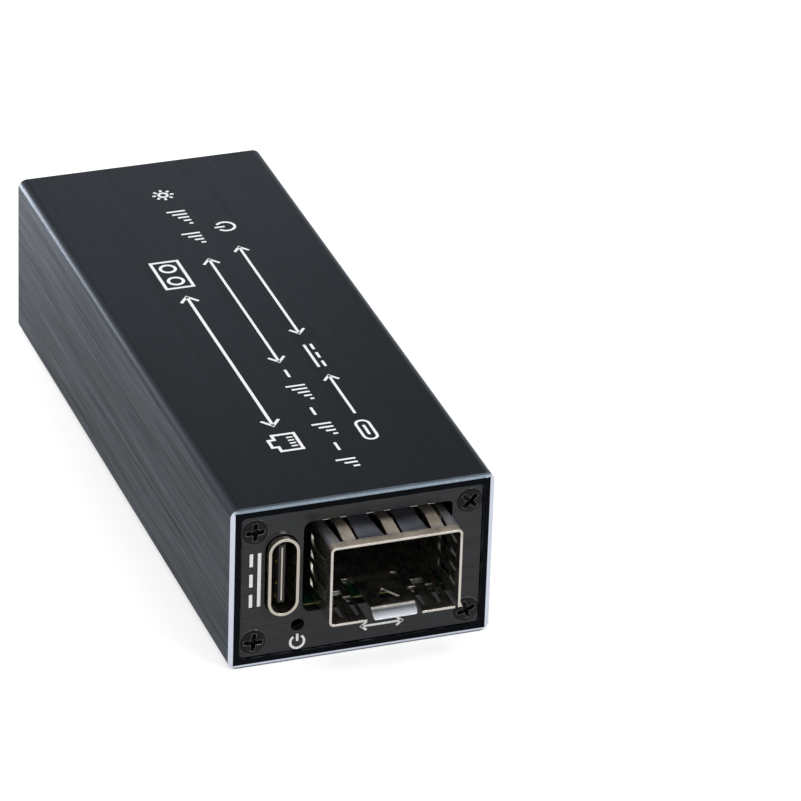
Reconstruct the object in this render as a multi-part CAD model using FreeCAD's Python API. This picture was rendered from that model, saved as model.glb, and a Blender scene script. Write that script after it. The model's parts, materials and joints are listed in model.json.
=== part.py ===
"""Pocket fibre media converter: an extruded tube case with a board, an SFP cage and an RJ45 jack.

Millimetres. +Z is up, the SFP end faces -Y and the RJ45 end faces +Y.
The origin is the middle of the tube's flat underside.
"""
import FreeCAD, Part
import math
import os

V = FreeCAD.Vector

# ---- driving dimensions ---------------------------------------------------------------------

# extruded case tube
case_width = 28.0
case_height = 18.6
case_length = 76.0
case_wall = 1.15
case_round = 1.0            # long outside corners
case_inner_round = 0.5
bevel_face = 0.47           # bright bevel cut round each end, as seen from the end
bevel_depth = 0.2

# end panels, let into the tube
panel_thick = 1.2
panel_recess = 0.15         # from the tube's end to the panel's face
panel_gap = 0.08            # all round

# countersunk cross-head screws and the extruded channels that they bite into
screw_inset_x = 2.6         # from the tube's outside to the screw's axis
screw_inset_z = 2.9
screw_head = 2.9
screw_dome = 0.22           # of the raised head, above its rim
screw_shank = 1.8
screw_length = 6.0
screw_gap = 0.03            # between a head and its countersink
screw_hole_gap = 0.3        # of the panel's hole, on the diameter
channel_bore = 1.86
channel_wall = 0.57
channel_toe = 0.1           # rounding where a channel runs into the walls
channel_slot = 0.9          # the channel is open towards the middle of the case
channel_slot_turn = 35      # degrees above level
cross_long = 2.0
cross_wide = 0.5
cross_deep = 0.8            # below the head's rim

# circuit board, held between the lower channels and a pair of ribs
board_thick = 1.2
board_side_gap = 0.25
board_end_gap = 0.15
rib_reach = 0.8
rib_high = 0.6
rib_gap = 0.1
hole_gap = 0.12             # all round a pin in the board

# SFP cage, folded from one sheet
sheet = 0.25
cage_width = 14.0
cage_height = 9.15
cage_length = 48.0
cage_offset = 2.4           # its middle line, from the middle of the case
cage_proud = 3.75           # in front of the front panel
cage_bend = 0.3
cage_floor_length = 29.0
cage_seam = 0.3
cage_foot_gap = 0.05            # between the walls' lower edges and the board
cage_flare_length = 2.2         # of the turned-out foot at the mouth's open corner
cage_lip = 1.1
finger_length = 5.0
finger_root = 1.35
finger_tip = 1.05
finger_slot_front = 0.33        # beside a finger's root
finger_slot_back = 0.8          # beside its tip
finger_pitch = 4.68
finger_bow = 0.35
finger_bow_tight = 0.12         # on the side that lies against the panel
finger_curve = 2.0              # radius of a finger's bends
strip_overlap = 0.2             # of a formed strip with the flat sheet at its ends
side_finger_pitch = 3.3
floor_finger_length = 3.8
floor_finger_pitch = 4.4
press_depth = 0.1               # of the panels between the top fingers
press_ramp = 0.7
relief_hole = (1.2, 0.9)        # behind each floor finger: wide, long
relief_gap = 0.4
vent_bore = 2.0
vent_pitch = 8.8
vents_in_column = 4
vent_columns = ((-3.9, 17.0), (0.0, 12.6), (3.9, 17.0))     # across, first hole from the mouth
tongue_width = 4.7
tongue_slit = 0.6
tongue_length = 8.2
tongue_lift = 0.95
tongue_round = 0.6
tongue_corner = 0.1
tongue_ramp = 2.0               # length of the tongue's rise from the floor
tongue_fall = 0.8               # share of its lift that it has where the rise ends
tongue_tab = 1.0                # length along the case of the tab that turns down at the tip
tongue_tab_proud = 0.85         # of the tongue's crest, behind the cage's mouth
tongue_tab_gap = 0.1            # between the tab's tip and the floor's level
catch_setback = 1.25            # behind the tongue's crest
catch_wide = 2.5                # triangular hole that holds a module's latch
catch_long = 2.1
cage_pin = 0.8
cage_pin_reach = 0.5            # below the board
cage_pins_beside_floor = (9.0, 19.0)        # behind the mouth, on the right side only
cage_pin_behind_floor = 3.5
cage_pins_before_back = (9.0, 2.5)
cage_cutout_left = 1.65     # room left of the cage in the front panel
cage_cutout_right = 0.2
cage_cutout_top = 1.25
cage_cutout_bottom = 0.1
cage_cutout_round = 1.0

# SFP host connector at the back of the cage
host_width = 12.2
host_depth = 9.0
host_height = 5.4
host_back_gap = 1.5
host_slot = (9.4, 1.3, 6.0)       # wide, high, deep
host_slot_level = 2.7
host_contacts = 10                # in each of two rows
host_pitch = 0.8
host_contact = (0.3, 0.2)         # wide, thick
host_groove_gap = 0.05            # on each side of a contact
host_contact_foot = 1.0           # along the board
host_contact_nose = 1.3           # from a contact's tip to where it touches the card
host_contact_held = 5.0           # from the connector's mouth to where it is held
host_contact_seat = 0.15          # between the slot and the held contact
host_contact_bow = 0.25           # of its nose from its seat
host_contact_out = 0.3            # between its upright and the connector
host_lead_in = 0.5                # from the connector's mouth to its contacts
host_groove_deep = 0.9            # above and below the slot
host_groove_room = 0.2            # beyond a contact's end
host_chamfer = 0.5

# USB-C socket, standing on its side
usb_across = 3.26
usb_tall = 8.94
usb_wall = 0.3
usb_length = 10.5
usb_offset = -8.5
usb_level = 10.4
usb_proud = 0.8
usb_panel_gap = 0.15
usb_leg = 1.1
usb_leg_reach = 0.4               # below the board
usb_leg_setbacks = (1.6, 2.2)     # from the board's front edge, and from the socket's back
usb_tongue = (0.7, 6.66)          # thick, tall
usb_plate = (0.16, 6.1)           # steel plate in the middle of the tongue: thick, tall
usb_plate_proud = 0.06            # in front of the tongue
usb_tab = (2.9, 0.8)              # spring tab cut in the shell: long, tall
usb_tab_levels = (-1.6, 1.6)      # from the socket's middle
usb_tab_slit = 0.2
usb_insulator_gap = 0.04          # all round the base, inside the shell
usb_tongue_setback = 0.8
usb_base_depth = 2.3
usb_base_setback = 0.15           # from the socket's back
usb_contact_rows = (-2.75, -1.25, 1.25)
usb_contact = (0.25, 0.1)

# power light under the board's front edge
led_offset = -6.67
led_level = 4.14
led_hole = 1.45
led_size = (1.6, 0.8, 0.75)
led_lens = (0.6, 0.3)             # bore, and how far it stands out of its body
led_lens_gap = 0.1                # behind the board's front edge

# RJ45 jack, sunk through the board
jack_width = 16.0
jack_height = 11.0
jack_length = 21.2
jack_bottom = 2.4
jack_proud = 0.2                  # behind the tube's end
jack_board_gap = 0.2
jack_panel_gap = 0.15
jack_skin_gap = 0.08
port_wide = 11.9
port_high = 6.9
port_floor = 1.3                  # above the jack's underside
port_deep = 12.6
latch_wide = 6.2
latch_high = 1.7
latch_deep = 7.0
notch_wide = 3.9                  # for the plug's latch tab
notch_deep = 3.4
jack_contacts = 8
jack_pitch = 1.02
jack_wire = 0.35
jack_tail = 1.4
jack_rear_notch = (10.6, 4.4)     # open foot of the rear wall: wide, high
jack_slit = (6.2, 0.55)           # along the top rear fold: long, wide
jack_bridge = 1.0
jack_vent = 0.7
jack_vent_levels = (1.2, 2.4)     # of the small holes in its sides, above the board
jack_vent_setback = 1.2           # from the jack's inner end
jack_ear = (1.5, 2.0)             # carries the jack on the board: reach, length
jack_ear_pin = (0.8, 0.4)         # wide, reach below the board
jack_ear_setbacks = (5.5, 6.5)    # from the inner end and from the mouth
jack_face_gap = 0.1               # between the shield's front and the port's edge
jack_bend = 0.15
jack_wire_bend = 0.4
jack_groove_gap = 0.06            # on each side of a wire
jack_wire_tip = 4.6               # from the mouth to a wire's tip
jack_tunnel_run = 0.5             # of the wires' tunnels into the port
jack_comb = 2.6                   # length of the grooves at the wires' tips

# chips and the rest of the board
transformer = (15.2, 6.0, 4.6)
transformer_leads = 12            # on each long side
transformer_pitch = 1.2
transformer_lead_level = 1.6      # above the board
transformer_lead_reach = 0.35
converter_chip = (7.0, 7.0, 1.0)
converter_leads = 12              # on each of four sides
converter_pitch = 0.5
converter_lead = (0.22, 0.12, 0.55)     # wide, thick, foot
converter_lead_level = 0.45
converter_setback = 34.6          # of its middle from the cage's mouth
small_outline = (3.9, 4.9, 1.4)   # eight-lead body: deep, wide, high
small_outline_pitch = 1.27
small_outline_lead_level = 0.7
memory_offset = (-2.8, 10.0)      # from the cage's left side, and from the converter chip's middle
regulator_gap = 1.4               # between the regulator's and the inductor's sides
inductor = (6.0, 6.0, 3.8)
inductor_setback = 1.5            # from the cage's back
diode = (2.6, 4.3, 2.1)           # deep, wide, high
diode_lift = 0.02                 # of its body above its terminals
diode_gaps = (2.4, 6.4)           # from the capacitor's side to each diode's middle
capacitor_bore = 4.0
capacitor_tall = 5.6
capacitor_gap = 1.0               # between the capacitor's and the regulator's sides
crystal = (3.2, 2.5, 0.75)
crystal_gap = 6.4                 # in front of the converter chip's middle
stand_off = 0.1                   # of a leaded body from the board
lead_width = 0.4
first_pin_mark = 0.5              # radius of the dimple by the transformer's first lead
mark_depth = 0.1
diode_terminal = (1.4, 0.1, 0.9)  # wide, thick, reach under the body
capacitor_lead = 0.5
capacitor_lead_pitch = 1.5
small_capacitor = (1.6, 0.8, 0.8)
capacitor_row_gap = 2.7           # beside the converter chip
capacitor_row_pitch = 2.2
small_resistor = (1.6, 0.8, 0.45)
resistor_row_gap = 2.8            # behind the converter chip
resistor_row_pitch = 2.0
pull_up_gap = 2.65                # in front of the settings memory
pull_up_pitch = 2.4

# ---- places worked out from them ------------------------------------------------------------

half_width = case_width / 2
half_length = case_length / 2
inner_half = half_width - case_wall
inner_bottom = case_wall
inner_top = case_height - case_wall
pocket_depth = panel_recess + panel_thick
panel_face = half_length - panel_recess         # distance of a panel's outer face from the middle
panel_back = half_length - pocket_depth
screw_x = half_width - screw_inset_x
screw_levels = (screw_inset_z, case_height - screw_inset_z)
channel_reach = channel_bore / 2 + channel_wall
board_bottom = screw_inset_z + channel_reach
board_top = board_bottom + board_thick
board_half = inner_half - board_side_gap
board_end = panel_back - board_end_gap
cage_left = cage_offset - cage_width / 2
cage_right = cage_offset + cage_width / 2
cage_top = board_top + cage_height
cage_front = -panel_face - cage_proud
cage_back = cage_front + cage_length
floor_end = cage_front + cage_floor_length
jack_back = half_length + jack_proud            # the jack's mouth
jack_inner_end = jack_back - jack_length
jack_top = jack_bottom + jack_height
port_bottom = jack_bottom + port_floor
port_top = port_bottom + port_high


# ---- shapes in general ----------------------------------------------------------------------

def box(x0, x1, y0, y1, z0, z1):
    """A block between two corners."""
    return Part.makeBox(x1 - x0, y1 - y0, z1 - z0, V(x0, y0, z0))


def block_on(centre_x, centre_y, bottom, size):
    """A block of a given size standing on a level."""
    wide, deep, high = size
    return box(centre_x - wide / 2, centre_x + wide / 2,
               centre_y - deep / 2, centre_y + deep / 2, bottom, bottom + high)


def across_case(y):
    """Places 2D points in the plane across the case at y: u is X and v is Z."""
    return lambda u, v: V(u, y, v)


def along_case(x):
    """Places 2D points in the plane along the case at x: u is Y and v is Z."""
    return lambda u, v: V(x, u, v)


def rounded_run(points, radii, place):
    """Edges through 2D points, each inner point rounded by its radius."""
    edges = []
    start = points[0]
    for before, corner, after, radius in zip(points, points[1:], points[2:], radii):
        a = (corner - before).normalize()
        b = (after - corner).normalize()
        half_turn = a.getAngle(b) / 2
        if half_turn < 1e-6:
            continue
        trim = radius * math.tan(half_turn)
        rise = radius / math.cos(half_turn) - radius
        first = corner - a * trim
        middle = corner + (b - a).normalize() * rise
        last = corner + b * trim
        edges.append(Part.LineSegment(place(start.x, start.y), place(first.x, first.y)).toShape())
        edges.append(Part.Arc(place(first.x, first.y), place(middle.x, middle.y),
                              place(last.x, last.y)).toShape())
        start = last
    end = points[-1]
    edges.append(Part.LineSegment(place(start.x, start.y), place(end.x, end.y)).toShape())
    return edges


def sheet_sides(points, thick):
    """Both sides of a folded sheet's section, left of the points, and which of its corners turn left."""
    line = [V(u, v, 0) for u, v in points]
    runs = [(q - p).normalize() for p, q in zip(line, line[1:])]
    normals = [V(-run.y, run.x, 0) for run in runs]
    other = [line[0] + normals[0] * thick]
    turns_left = []
    for corner, m, n, run in zip(line[1:], normals, normals[1:], runs):
        mitre = (m + n).normalize()
        other.append(corner + mitre * (thick / mitre.dot(n)))
        turns_left.append(run.dot(n) < 0)
    other.append(line[-1] + normals[-1] * thick)
    return line, other, turns_left


def bent_strip(points, thick, bend, place):
    """The section of a folded strip with rounded bends. Its sheet lies left of the line of points."""
    line, other, turns_left = sheet_sides(points, thick)
    near_radii = [bend + thick if left else bend for left in turns_left]
    far_radii = [bend if left else bend + thick for left in turns_left]
    edges = rounded_run(line, near_radii, place)
    edges.append(Part.LineSegment(place(line[-1].x, line[-1].y),
                                  place(other[-1].x, other[-1].y)).toShape())
    edges += rounded_run(other[::-1], far_radii[::-1], place)
    edges.append(Part.LineSegment(place(other[0].x, other[0].y),
                                  place(line[0].x, line[0].y)).toShape())
    return Part.Face(Part.Wire(edges))


def sharp_strip(points, thick, place, travel):
    """A thin strip with sharp folds, for leads too small to show their bends."""
    line, other, turns_left = sheet_sides(points, thick)
    return polygon_prism([(point.x, point.y) for point in line + other[::-1]], place, travel)


def rounded_plate(x0, x1, z0, z1, radii, y0, y1):
    """A plate across the case from y0 to y1. Radii: left bottom, right bottom, right top, left top."""
    points = [V(x0, (z0 + z1) / 2, 0), V(x0, z0, 0), V(x1, z0, 0), V(x1, z1, 0), V(x0, z1, 0),
              V(x0, (z0 + z1) / 2, 0)]
    face = Part.Face(Part.Wire(rounded_run(points, radii, across_case(y0))))
    return face.extrude(V(0, y1 - y0, 0))


def polygon_prism(points, place, travel):
    """A prism on a straight-sided outline."""
    corners = [place(u, v) for u, v in points]
    return Part.Face(Part.makePolygon(corners + corners[:1])).extrude(travel)


def fused(first, others):
    return first.multiFuse(others).removeSplitter()


def mirrored_ends(shape):
    """The same shape at the other end of the case."""
    return shape.mirror(V(0, 0, 0), V(0, 1, 0))


def gull_wing(body_side, lead_level, wide, reach=0.25, thick=0.18, foot=0.6):
    """One lead along +Y from a body's side to the board's top, centred on X = 0."""
    slope = 0.1
    points = [(body_side, lead_level), (body_side + reach, lead_level),
              (body_side + reach + slope, board_top), (body_side + reach + foot, board_top)]
    return sharp_strip(points, thick, along_case(-wide / 2), V(wide, 0, 0))


def row_of(shape, count, pitch, centre=V(0, 0, 0)):
    """Copies of a shape in a row along X."""
    first = -(count - 1) * pitch / 2
    return [shape.translated(centre + V(first + number * pitch, 0, 0)) for number in range(count)]


def turned(shape, degrees, centre=V(0, 0, 0), axis=V(0, 0, 1)):
    copy = shape.copy()
    copy.rotate(centre, axis, degrees)
    return copy


# ---- case tube ------------------------------------------------------------------------------

def screw_channel():
    """One channel in the corner at +X and -Z, as long as the tube between the panels."""
    level = screw_inset_z
    corner = rounded_plate(screw_x - channel_reach, inner_half + case_wall / 2,
                           case_wall / 2, level + channel_reach,
                           (channel_toe, channel_toe, channel_toe, channel_reach - channel_toe),
                           -panel_back, panel_back)
    bore = Part.makeCylinder(channel_bore / 2, 2 * panel_back, V(screw_x, -panel_back, level), V(0, 1, 0))
    opening = box(screw_x - 2 * channel_reach, screw_x, -panel_back, panel_back,
                  level - channel_slot / 2, level + channel_slot / 2)
    opening.rotate(V(screw_x, 0, level), V(0, 1, 0), channel_slot_turn)
    return corner.cut(bore).cut(opening)


def case_tube():
    outer = rounded_plate(-half_width, half_width, 0, case_height, (case_round,) * 4,
                          -half_length, half_length)
    inner = rounded_plate(-inner_half, inner_half, inner_bottom, inner_top, (case_inner_round,) * 4,
                          -half_length, half_length)
    low = screw_channel()
    low_pair = [low, low.mirror(V(0, 0, 0), V(1, 0, 0))]
    high_pair = [each.mirror(V(0, 0, case_height / 2), V(0, 0, 1)) for each in low_pair]
    rib_bottom = board_top + rib_gap
    rib = box(inner_half - rib_reach, inner_half + case_wall / 2, -panel_back, panel_back,
              rib_bottom, rib_bottom + rib_high)
    ribs = [rib, rib.mirror(V(0, 0, 0), V(1, 0, 0))]
    tube = fused(outer.cut(inner), low_pair + high_pair + ribs)
    bevel = bevel_cutter()
    return tube.cut(bevel).cut(mirrored_ends(bevel))


def bevel_cutter():
    """What the bright bevel takes off the front end: everything outside a short rounded hopper."""
    sections = []
    for inset, depth in ((bevel_face, 0), (0, bevel_depth)):
        radius = max(case_round - inset, 0.4)
        points = [V(-half_width + inset, case_height / 2, 0), V(-half_width + inset, inset, 0),
                  V(half_width - inset, inset, 0), V(half_width - inset, case_height - inset, 0),
                  V(-half_width + inset, case_height - inset, 0),
                  V(-half_width + inset, case_height / 2, 0)]
        edges = rounded_run(points, (radius,) * 4, across_case(-half_length + depth))
        sections.append(Part.Wire(edges))
    hopper = Part.makeLoft(sections, True, True)
    block = box(-half_width - 1, half_width + 1, -half_length - 1, -half_length + bevel_depth,
                -1, case_height + 1)
    return block.cut(hopper).cut(box(-half_width + bevel_face, half_width - bevel_face,
                                     -half_length - 2, -half_length + 1,
                                     bevel_face, case_height - bevel_face))


# ---- end panels and their screws ------------------------------------------------------------

def blank_panel():
    """The front panel before its own openings, with four countersunk holes."""
    plate = rounded_plate(-inner_half + panel_gap, inner_half - panel_gap,
                          inner_bottom + panel_gap, inner_top - panel_gap,
                          (case_inner_round - panel_gap,) * 4, -panel_face, -panel_back)
    bore = screw_shank / 2 + screw_hole_gap / 2
    rim = screw_head / 2 + screw_gap
    for x in (-screw_x, screw_x):
        for level in screw_levels:
            hole = Part.makeCylinder(bore, 3 * panel_thick, V(x, -panel_face - panel_thick, level),
                                     V(0, 1, 0))
            sink = Part.makeCone(rim, bore, rim - bore, V(x, -panel_face, level), V(0, 1, 0))
            plate = plate.cut(hole).cut(sink)
    return plate


def stadium(across, tall, y0, y1):
    """A standing stadium-shaped bar round the USB-C socket's axis."""
    rounding = across / 2 - 0.001
    return rounded_plate(usb_offset - across / 2, usb_offset + across / 2,
                         usb_level - tall / 2, usb_level + tall / 2, (rounding,) * 4, y0, y1)


def front_panel():
    through = (-panel_face - 1, -panel_back + 1)
    usb_hole = stadium(usb_across + 2 * usb_panel_gap, usb_tall + 2 * usb_panel_gap, *through)
    corner = cage_cutout_round
    cage_hole = rounded_plate(cage_left - cage_cutout_left, cage_right + cage_cutout_right,
                              board_top - cage_cutout_bottom, cage_top + cage_cutout_top,
                              (corner, corner / 2, corner / 2, corner), *through)
    light_hole = Part.makeCylinder(led_hole / 2, 2 * panel_thick,
                                   V(led_offset, -panel_face - panel_thick / 2, led_level), V(0, 1, 0))
    return blank_panel().cut(usb_hole).cut(cage_hole).cut(light_hole)


def rear_panel():
    gap = jack_panel_gap
    jack_hole = rounded_plate(-jack_width / 2 - gap, jack_width / 2 + gap,
                              jack_bottom - gap, jack_top + gap, (0.4,) * 4,
                              panel_back - 1, panel_face + 1)
    return mirrored_ends(blank_panel()).cut(jack_hole)


def screw(turn):
    """A raised countersunk screw along +Y, with its head's rim round the origin and its dome in front."""
    rim, shank = screw_head / 2, screw_shank / 2
    neck = rim - shank
    flank = Part.makePolygon([V(rim, 0, 0), V(shank, neck, 0), V(shank, screw_length, 0),
                              V(0, screw_length, 0), V(0, -screw_dome, 0)])
    half_way = rim * 0.55
    sphere = (rim ** 2 + screw_dome ** 2) / (2 * screw_dome)
    rise = math.sqrt(sphere ** 2 - half_way ** 2) - (sphere - screw_dome)
    dome = Part.Arc(V(0, -screw_dome, 0), V(half_way, -rise, 0), V(rim, 0, 0)).toShape()
    body = Part.Face(Part.Wire(flank.Edges + [dome])).revolve(V(0, 0, 0), V(0, 1, 0), 360)
    mouth = -screw_dome - screw_gap
    blade = polygon_prism([(mouth, -cross_long / 2), (0, -cross_long / 2), (cross_deep, -cross_long / 4),
                           (cross_deep, cross_long / 4), (0, cross_long / 2), (mouth, cross_long / 2)],
                          along_case(-cross_wide / 2), V(cross_wide, 0, 0))
    other = turned(blade, 90, axis=V(0, 1, 0))
    return turned(body.cut(blade.fuse(other)), turn, axis=V(0, 1, 0))


def panel_screws(turns):
    """Four screws at the front end, each driven home to its own turn."""
    places = [(x, level) for x in (-screw_x, screw_x) for level in screw_levels]
    screws = [screw(turn).translated(V(x, -panel_face, level))
              for (x, level), turn in zip(places, turns)]
    return Part.makeCompound(screws)


# ---- SFP cage -------------------------------------------------------------------------------

def cage_strip(length, bow, front_wide, back_wide):
    """A bowed strip of the cage along +Y from the origin, outside up. It overlaps the sheet at its ends."""
    line = [(-strip_overlap, -sheet), (0, -sheet), (length / 2, bow - sheet), (length, -sheet),
            (length + strip_overlap, -sheet)]
    strip = bent_strip(line, sheet, finger_curve, along_case(-front_wide / 2)).extrude(V(front_wide, 0, 0))
    return strip.common(wedge(length, front_wide, back_wide, strip_overlap))


def wedge(length, front_wide, back_wide, overlap=0.0):
    """A tapered block along +Y from the origin, through the sheet. An overlap adds straight ends."""
    front, back = front_wide / 2, back_wide / 2
    plan = [(front, 0), (back, length), (-back, length), (-front, 0)]
    if overlap:
        plan = [(-front, -overlap), (front, -overlap), (front, 0), (back, length), (back, length + overlap),
                (-back, length + overlap), (-back, length), (-front, 0)]
    deep = 4 * sheet
    return polygon_prism(plan, lambda u, v: V(u, v, -deep), V(0, 0, 2 * deep))


def spring_finger(length, bow):
    """One bowed finger and the flared window that it stands in, both along +Y from the origin."""
    strip = cage_strip(length, bow, finger_root, finger_tip)
    window = wedge(length, finger_root + 2 * finger_slot_front, finger_tip + 2 * finger_slot_back)
    return strip, window


def pressed_panel():
    """A panel between two top fingers, pressed in a little behind the lip, and the window that it fills."""
    wide = finger_pitch - finger_tip
    low = -sheet - press_depth
    line = [(-strip_overlap, -sheet), (0, -sheet), (press_ramp, low), (finger_length - press_ramp, low),
            (finger_length, -sheet), (finger_length + strip_overlap, -sheet)]
    strip = bent_strip(line, sheet, cage_bend, along_case(-wide / 2)).extrude(V(wide, 0, 0))
    window = box(-wide / 2, wide / 2, 0, finger_length, -2 * sheet, 2 * sheet)
    return strip, window


def finger_places():
    """Where the cage has a finger: its place, its turn about Y, its length and how far it bows out."""
    front = cage_front + cage_lip
    middle = (board_top + cage_top) / 2
    places = [(V(cage_offset + step * finger_pitch, front, cage_top), 0, finger_length, finger_bow)
              for step in (-1, 0, 1)]
    for step in (-0.5, 0.5):
        level = middle + step * side_finger_pitch
        places.append((V(cage_left, front, level), -90, finger_length, finger_bow))
        places.append((V(cage_right, front, level), 90, finger_length, finger_bow_tight))
    places += [(V(cage_offset + step * floor_finger_pitch, front, board_top), 180, floor_finger_length, 0.0)
               for step in (-1, 1)]
    return places


def cage_wrap():
    """The folded sheet: right wall, top, left wall and floor, open at the lower right corner."""
    foot = board_top + cage_foot_gap
    line = [(cage_right, foot), (cage_right, cage_top), (cage_left, cage_top),
            (cage_left, board_top), (cage_right - sheet - cage_seam, board_top)]
    wrap = bent_strip(line, sheet, cage_bend, across_case(cage_front)).extrude(V(0, cage_length, 0))
    fold = sheet + cage_bend
    floor_right = cage_right - sheet - cage_foot_gap
    open_floor = box(cage_left - 1, floor_right, floor_end, cage_back + 1, board_top - 1, board_top + fold)
    left_foot = box(cage_left, cage_left + sheet, floor_end, cage_back, foot, board_top + 2 * fold)
    rear_wall = box(cage_left + fold, cage_right - fold, cage_back - sheet, cage_back, foot, cage_top)
    flare_top = foot + fold
    flare = polygon_prism([(cage_right - sheet, flare_top), (cage_right, flare_top),
                           (cage_right + sheet, foot), (cage_right, foot)],
                          across_case(cage_front), V(0, cage_flare_length, 0))
    return fused(wrap.cut(open_floor), [left_foot, rear_wall, flare])


def latch_tongue():
    """The spring tongue in the floor: it lifts behind the mouth and turns down again at the tip."""
    front, root = cage_front, cage_front + tongue_length
    crest = board_top + tongue_lift
    line = [(front + tongue_tab_proud - tongue_tab, board_top + tongue_tab_gap),
            (front + tongue_tab_proud, crest), (root - tongue_ramp, board_top + tongue_lift * tongue_fall),
            (root, board_top), (root + 2 * sheet, board_top)]
    left = cage_offset - tongue_width / 2
    strip = bent_strip(line, sheet, cage_bend, along_case(left)).extrude(V(tongue_width, 0, 0))
    plan = rounded_plate(left, left + tongue_width, board_top, cage_top,
                         (tongue_round, tongue_round, tongue_corner, tongue_corner), front - 1, root + 1)
    catch_front = front + tongue_tab_proud + catch_setback
    catch = polygon_prism([(cage_offset - catch_wide / 2, catch_front),
                           (cage_offset + catch_wide / 2, catch_front),
                           (cage_offset, catch_front + catch_long)],
                          lambda u, v: V(u, v, board_top + sheet), V(0, 0, 2 * tongue_lift))
    return strip.common(plan).cut(catch)


def cage_pins():
    """Each pin that goes down through the board from a side wall: X of its left face, Y of its middle."""
    shared = [floor_end + cage_pin_behind_floor] + [cage_back - setback for setback in cage_pins_before_back]
    beside_floor = [cage_front + setback for setback in cage_pins_beside_floor]
    return ([(cage_left, y) for y in shared] +
            [(cage_right - sheet, y) for y in beside_floor + shared])


def sfp_cage():
    cage = cage_wrap()
    for step in (-0.5, 0.5):
        strip, window = pressed_panel()
        place = V(cage_offset + step * finger_pitch, cage_front + cage_lip, cage_top)
        cage = cage.cut(window.translated(place)).fuse(strip.translated(place))
    windows, strips = [], []
    for place, turn, length, bow in finger_places():
        strip, window = spring_finger(length, bow)
        windows.append(turned(window, turn, axis=V(0, 1, 0)).translated(place))
        strips.append(turned(strip, turn, axis=V(0, 1, 0)).translated(place))
    slit = tongue_width / 2 + tongue_slit
    windows.append(box(cage_offset - slit, cage_offset + slit, cage_front - 1, cage_front + tongue_length,
                       board_top - 1, board_top + cage_bend + sheet))
    hole_wide, hole_long = relief_hole
    relief_y = cage_front + cage_lip + floor_finger_length + relief_gap + hole_long / 2
    for step in (-1, 1):
        windows.append(block_on(cage_offset + step * floor_finger_pitch, relief_y, board_top - 1,
                                (hole_wide, hole_long, 2)))
    for across, first in vent_columns:
        for number in range(vents_in_column):
            y = cage_front + first + number * vent_pitch
            windows.append(Part.makeCylinder(vent_bore / 2, 2, V(cage_offset + across, y, cage_top - 1)))
    for window in windows:
        cage = cage.cut(window)
    pins = [box(x, x + sheet, y - cage_pin / 2, y + cage_pin / 2,
                board_bottom - cage_pin_reach, board_top + cage_pin) for x, y in cage_pins()]
    return fused(cage, strips + [latch_tongue()] + pins)


# ---- SFP host connector ---------------------------------------------------------------------

host_front = cage_back - sheet - host_back_gap - host_depth
host_back = host_front + host_depth
slot_middle = board_top + host_slot_level


def host_contact_line(upper):
    """The path of one contact in the plane along the case. Its metal lies above the line's left side."""
    bow = host_contact_bow
    seat_height = host_slot[1] / 2 + host_contact_seat
    tip = host_front + host_lead_in
    nose, held = tip + host_contact_nose, host_front + host_contact_held
    if upper:
        seat = slot_middle + seat_height
        back = host_back + host_contact_out
        return [(tip, seat + bow / 2), (nose, seat - bow), (held, seat), (back, seat), (back, board_top),
                (back + host_contact_foot, board_top)]
    seat = slot_middle - seat_height - host_contact[1]
    front = host_front - host_contact_out
    return [(front - host_contact_foot, board_top), (front, board_top), (front, seat - bow),
            (tip, seat - bow), (nose, seat + bow), (held, seat)]


def host_connector_contacts():
    wide, thick = host_contact
    rows = []
    for upper in (True, False):
        contact = sharp_strip(host_contact_line(upper), thick, along_case(-wide / 2), V(wide, 0, 0))
        rows += row_of(contact, host_contacts, host_pitch, V(cage_offset, 0, 0))
    return Part.makeCompound(rows)


def host_connector():
    """A moulded block with a card slot and a comb of contact grooves above and below it."""
    wide, high, deep = host_slot
    body = block_on(cage_offset, (host_front + host_back) / 2, board_top,
                    (host_width, host_depth, host_height))
    fold = V(cage_offset, host_front, board_top + host_height)
    top_front = [edge for edge in body.Edges if edge.CenterOfMass.distanceToPoint(fold) < 1e-6]
    body = body.makeChamfer(host_chamfer, top_front)
    body = body.cut(box(cage_offset - wide / 2, cage_offset + wide / 2, host_front - 1, host_front + deep,
                        slot_middle - high / 2, slot_middle + high / 2))
    reach = high / 2 + host_groove_deep
    groove = host_contact[0] / 2 + host_groove_gap
    upper = box(-groove, groove, host_front + host_lead_in - host_groove_room, host_back + 1,
                slot_middle, slot_middle + reach)
    lower = box(-groove, groove, host_front - 1, host_front + host_contact_held + 2 * host_groove_room,
                slot_middle - reach, slot_middle)
    middle = V(cage_offset, 0, 0)
    return body.cut([each for groove in (upper, lower)
                     for each in row_of(groove, host_contacts, host_pitch, middle)])


# ---- USB-C socket ---------------------------------------------------------------------------

usb_front = -panel_face - usb_proud
usb_back = usb_front + usb_length
usb_base_front = usb_back - usb_base_setback - usb_base_depth


def usb_leg_places():
    """Each leg that goes through the board: X of its outer face, Y of its middle, and its side."""
    front, back = usb_leg_setbacks
    return [(usb_offset + side * usb_across / 2, y, side)
            for side in (-1, 1) for y in (-board_end + front, usb_back - back)]


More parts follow.
